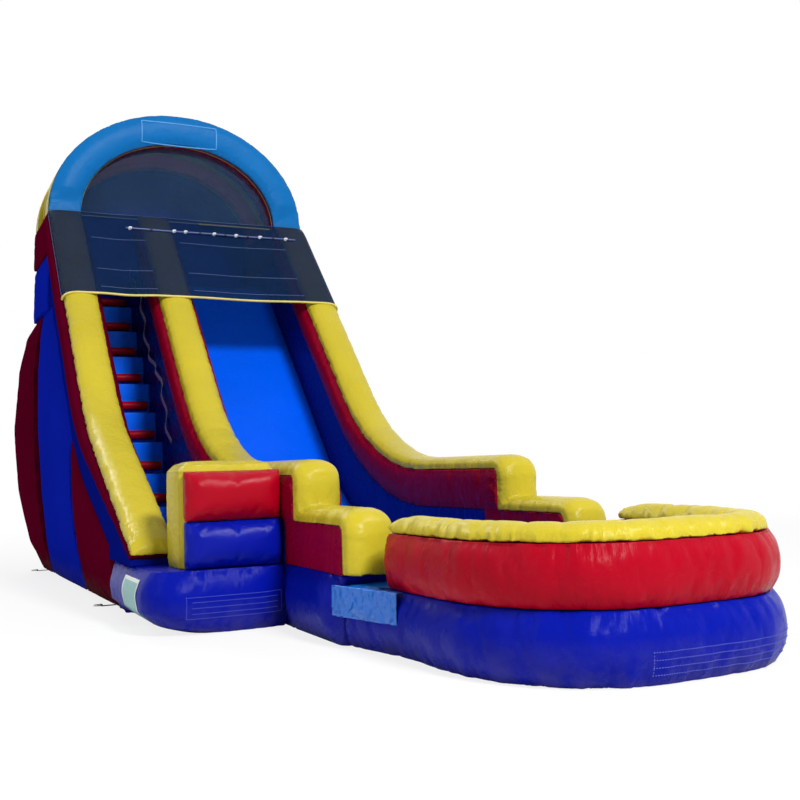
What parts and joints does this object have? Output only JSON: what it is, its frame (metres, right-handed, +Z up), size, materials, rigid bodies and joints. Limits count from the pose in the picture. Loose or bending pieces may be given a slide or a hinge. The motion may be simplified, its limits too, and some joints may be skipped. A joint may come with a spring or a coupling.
{
  "type": "inflatable water slide",
  "caption": "Tall inflatable water slide with a stair lane beside one slide lane, arched canopy with safety nets, entry block and a rounded splash pool.",
  "frame": {"origin": "middle of the bounding box, on the ground", "axes": "+Z up, -Y from the tower to the pool, +X to the right seen from the pool end"},
  "size_m": [3.679, 10.0478, 5.5],
  "materials": {
    "black": "woven, matt",
    "bright": "glossy coated cloth, inflated",
    "hose": "matt",
    "maroon": "glossy coated cloth, inflated",
    "navy": "glossy coated cloth, inflated",
    "net_grey": "woven, matt",
    "red": "glossy coated cloth, inflated",
    "royal": "glossy coated cloth, inflated",
    "sky": "glossy coated cloth, inflated",
    "steel": "brushed",
    "strap_grey": "woven, matt",
    "white": "glossy coated cloth, inflated",
    "yellow": "glossy coated cloth, inflated"
  },
  "bodies": {
    "slide": {"arch_face": "sky", "arch_tube": "yellow", "back_wall_lower": "royal", "back_wall_upper": "royal", "canopy_net": "net_grey", "canopy_roof": "yellow", "climb_block_frame": "yellow", "climb_block_lower": "royal", "climb_block_upper": "red", "climb_strap": "strap_grey", "entry_base": "royal", "exit_cloth": "sky", "inflation_sleeve": "royal", "label_patch": "white", "landing_base": "royal", "lane_net": "net_grey", "left_front_panel": "maroon", "left_front_tab": "black", "left_rear_column": "maroon", "left_rear_tab": "black", "left_side_panel": "royal", "left_tower_band": "maroon", "left_tower_wall": "royal", "left_wall_band": "maroon", "left_wall_skirt": "navy", "left_wall_top": "yellow", "middle_wall_band": "maroon", "middle_wall_skirt": "navy", "middle_wall_top": "yellow", "platform": "royal", "pool_base": "royal", "pool_floor": "bright", "pool_wall": "red", "pool_wall_top": "yellow", "rear_arch_tube": "yellow", "right_front_panel": "maroon", "right_front_tab": "black", "right_rear_column": "maroon", "right_rear_tab": "black", "right_side_panel": "royal", "right_tower_band": "maroon", "right_tower_wall": "royal", "right_wall_band": "maroon", "right_wall_skirt": "navy", "right_wall_top": "yellow", "slide_bed": "bright", "spray_hose": "hose", "stair_bed": "bright", "stair_side_lining": "navy", "step_bar_9": "red", "step_bar_rack": "red", "zipper_tape": "black"},
    "left_rear_ring_body": {"left_rear_ring": "steel"},
    "right_rear_ring_body": {"right_rear_ring": "steel"},
    "left_front_ring_body": {"left_front_ring": "steel"},
    "right_front_ring_body": {"right_front_ring": "steel"},
    "exit_flap_body": {"exit_flap": "sky"},
    "zipper_slider_body": {"zipper_slider": "steel"},
    "zipper_flap_body": {"zipper_flap": "royal"}
  },
  "joints": [
    {"name": "left_rear_ring_hinge", "type": "hinge", "parent": "slide", "child": "left_rear_ring_body", "pos_m": [-1.59436, 4.02358, 0.0096], "axis": [0, 1, 0], "range_deg": [0, 150]},
    {"name": "right_rear_ring_hinge", "type": "hinge", "parent": "slide", "child": "right_rear_ring_body", "pos_m": [1.59436, 4.02358, 0.0096], "axis": [0, -1, 0], "range_deg": [0, 150]},
    {"name": "left_front_ring_hinge", "type": "hinge", "parent": "slide", "child": "left_front_ring_body", "pos_m": [-1.50782, 0.12358, 0.0096], "axis": [0, 1, 0], "range_deg": [0, 150]},
    {"name": "right_front_ring_hinge", "type": "hinge", "parent": "slide", "child": "right_front_ring_body", "pos_m": [1.51004, 0.12358, 0.0096], "axis": [0, -1, 0], "range_deg": [0, 150]},
    {"name": "exit_flap_hinge", "type": "hinge", "parent": "slide", "child": "exit_flap_body", "pos_m": [-0.45295, -3.16849, 0.3943], "axis": [-0.23, 0.9732, 0], "range_deg": [0, 45]},
    {"name": "zipper_slide", "type": "slide", "parent": "slide", "child": "zipper_slider_body", "axis": [1, 0, 0], "range_m": [0, 0.465]},
    {"name": "zipper_flap_hinge", "type": "hinge", "parent": "slide", "child": "zipper_flap_body", "pos_m": [-0.55, 4.42388, 0.2453], "axis": [1, 0, 0], "range_deg": [0, 90]}
  ]
}
